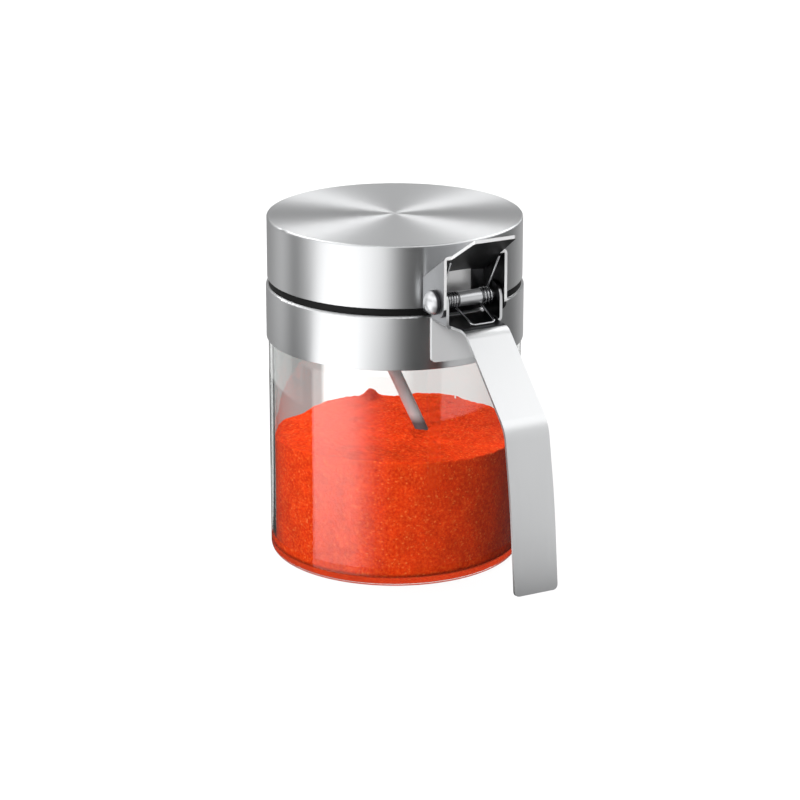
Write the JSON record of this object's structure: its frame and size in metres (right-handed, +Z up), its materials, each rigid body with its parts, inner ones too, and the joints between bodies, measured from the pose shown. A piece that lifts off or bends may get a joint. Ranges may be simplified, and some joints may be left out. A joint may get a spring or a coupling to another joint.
{
  "type": "spice jar",
  "caption": "Glass spice jar with a screwed steel collar, a spring-closed steel lid, a thumb tab, a side handle and a spoon under the lid.",
  "frame": {"origin": "centre of the jar's flat base, on the jar's axis", "axes": "+Z up along the jar's axis, +X towards the handle and the hinge, +Y along the hinge pin"},
  "size_m": [0.1307, 0.0814, 0.117],
  "materials": {
    "jar_glass": "gloss",
    "ground_spice": "matte",
    "clear_silicone": "satin",
    "polished_steel": "satin",
    "satin_steel": "satin",
    "rivet_steel": "polished",
    "spring_wire": "polished",
    "spoon_steel": "polished",
    "white_moulding": "satin",
    "black_silicone": "satin"
  },
  "bodies": {
    "jar": {"glass_jar": "jar_glass", "spice_fill": "ground_spice"},
    "gasket": {"neck_gasket": "clear_silicone"},
    "collar": {"collar_shell": "polished_steel", "thread_ring": "white_moulding", "mount_plate": "satin_steel", "handle": "satin_steel", "hinge_pin": "rivet_steel", "spring_sleeve": "rivet_steel", "torsion_spring": "spring_wire"},
    "lid": {"lid_shell": "polished_steel", "lid_liner": "white_moulding", "lid_seal": "black_silicone", "lid_bracket": "satin_steel", "spoon_holder": "white_moulding", "holder_screw": "rivet_steel", "spoon": "spoon_steel"}
  },
  "joints": [
    {"name": "collar_lift", "type": "slide", "parent": "jar", "child": "gasket", "axis": [0, 0, 1], "range_m": [0, 0.0043]},
    {"name": "collar_turn", "type": "hinge", "parent": "gasket", "child": "collar", "pos_m": [0, 0, 0.08], "axis": [0, 0, 1], "range_deg": [0, 360], "deforming": ["spice_fill"]},
    {"name": "lid_hinge", "type": "hinge", "parent": "collar", "child": "lid", "pos_m": [0.0461, 0, 0.0943], "axis": [0, 1, 0], "range_deg": [0, 85], "stiffness_Nm_per_rad": 0.04, "springref_deg": -57.3, "deforming": ["torsion_spring"]}
  ],
  "couplings": [
    {"joint": "collar_lift", "follows": "collar_turn", "m_per_rad": 0.00066845}
  ]
}
